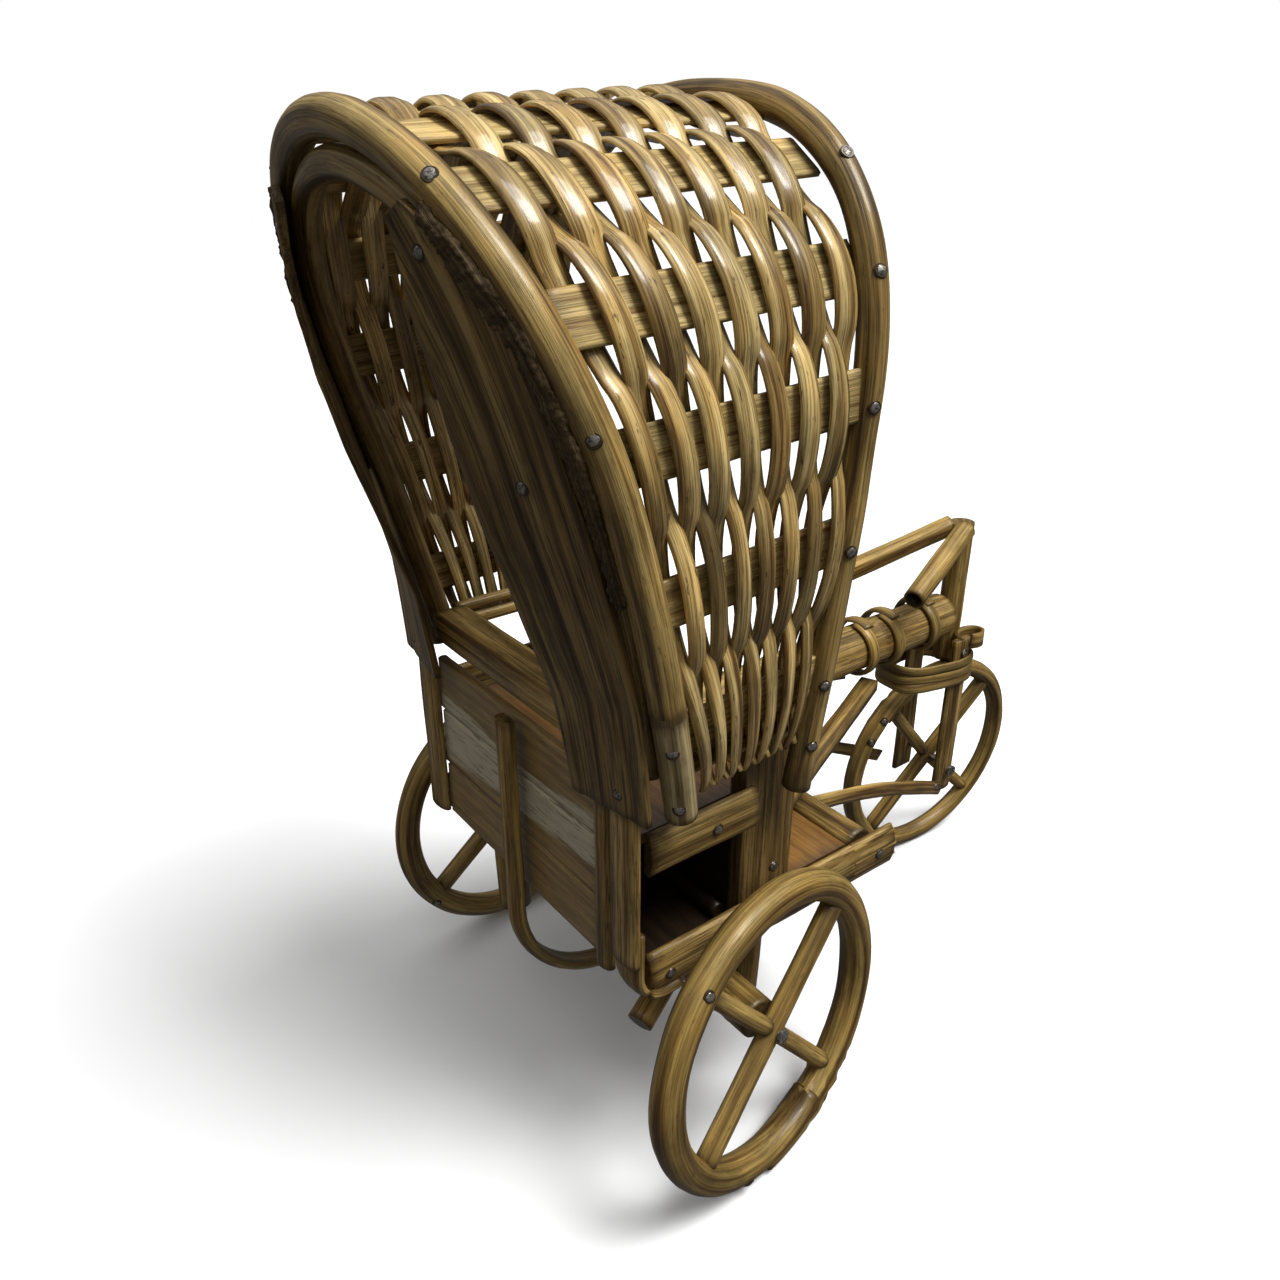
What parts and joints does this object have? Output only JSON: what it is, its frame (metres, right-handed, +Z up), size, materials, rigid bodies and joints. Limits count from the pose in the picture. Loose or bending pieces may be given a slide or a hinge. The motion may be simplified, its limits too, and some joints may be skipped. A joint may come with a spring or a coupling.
{
  "type": "miniature rattan cycle rickshaw",
  "caption": "Handmade miniature cycle rickshaw of rattan cane and bamboo, with a woven arched hood, a passenger box with seat and footboard, and turning cane wheels.",
  "frame": {"origin": "on the ground, at the middle of the object's length and width", "axes": "+X forwards to the front wheel, +Y to the rickshaw's left, +Z up"},
  "size_m": [0.219, 0.128, 0.2287],
  "materials": {
    "cane": "golden brown rattan cane, clear varnish over fine long grain with dark stains",
    "spoke_cane": "thin round rattan cane, varnished, with dark joints",
    "arch_cane": "bent round cane, glossy varnish, orange brown with darker streaks",
    "stake_cane": "narrow split cane, grooved along its length, glossy varnish",
    "weft_bamboo": "flat bamboo strip with fine parallel fibres, satin varnish",
    "split_bamboo": "split bamboo rail with its outer skin, satin varnish, rough cut ends",
    "tube_bamboo": "thick bamboo cane with nodes, varnished",
    "dark_slat": "flat dark brown bamboo slat, long fine grain, worn varnish",
    "board": "thin amber plywood board, satin varnish with dark knots",
    "pale_strip": "pale bare bamboo strip",
    "nail_steel": "dull wire nail steel with a dark ring of varnish"
  },
  "bodies": {
    "frame": {"nail_right": "nail_steel", "nail_left": "nail_steel", "nail_front": "nail_steel", "axle": "cane", "hanger_right_front": "cane", "hanger_left_front": "cane", "hanger_left_rear": "cane", "hanger_right_rear": "cane", "bottom_rail_right": "split_bamboo", "bottom_rail_left": "split_bamboo", "middle_rail_right": "split_bamboo", "middle_rail_left": "split_bamboo", "front_post_right": "dark_slat", "front_post_left": "dark_slat", "rear_post_right": "split_bamboo", "rear_post_left": "split_bamboo", "back_boards": "board", "top_rail": "split_bamboo", "hoop": "cane", "seat_board": "board", "seat_lip": "pale_strip", "foot_board": "board", "floor_board": "board", "seat_riser": "board", "foot_bar": "split_bamboo", "arch_rear": "arch_cane", "arch_rear_inner": "arch_cane", "arch_front": "arch_cane", "stakes_over": "stake_cane", "stakes_under": "stake_cane", "wefts_right": "weft_bamboo", "weft_ridge": "weft_bamboo", "wefts_left": "weft_bamboo", "hood_rail_right": "cane", "hood_rail_left": "cane", "back_slat_right": "dark_slat", "back_slat_left": "dark_slat", "top_tube": "tube_bamboo", "tube_rings": "cane", "fork_leg_right": "dark_slat", "fork_leg_left": "dark_slat", "strut_right": "split_bamboo", "strut_left": "split_bamboo", "stay_right": "split_bamboo", "stay_left": "split_bamboo", "handle_right": "cane", "handle_left": "cane", "steering_stem": "cane"},
    "wheel_right": {"rim_right": "cane", "spokes_right": "spoke_cane"},
    "wheel_left": {"rim_left": "cane", "spokes_left": "spoke_cane"},
    "wheel_front": {"rim_front": "cane", "spokes_front": "spoke_cane"}
  },
  "joints": [
    {"name": "wheel_right_spin", "type": "hinge", "parent": "frame", "child": "wheel_right", "pos_m": [-0.05019, -0.05423, 0.03789], "axis": [-0.156, 0.9846, -0.0785], "continuous": true},
    {"name": "wheel_left_spin", "type": "hinge", "parent": "frame", "child": "wheel_left", "pos_m": [-0.05019, 0.05857, 0.03799], "axis": [-0.0523, 0.9983, -0.0262], "continuous": true},
    {"name": "wheel_front_spin", "type": "hinge", "parent": "frame", "child": "wheel_front", "pos_m": [0.07471, 0.00297, 0.03486], "axis": [0.087, 0.9948, 0.0523], "continuous": true}
  ]
}
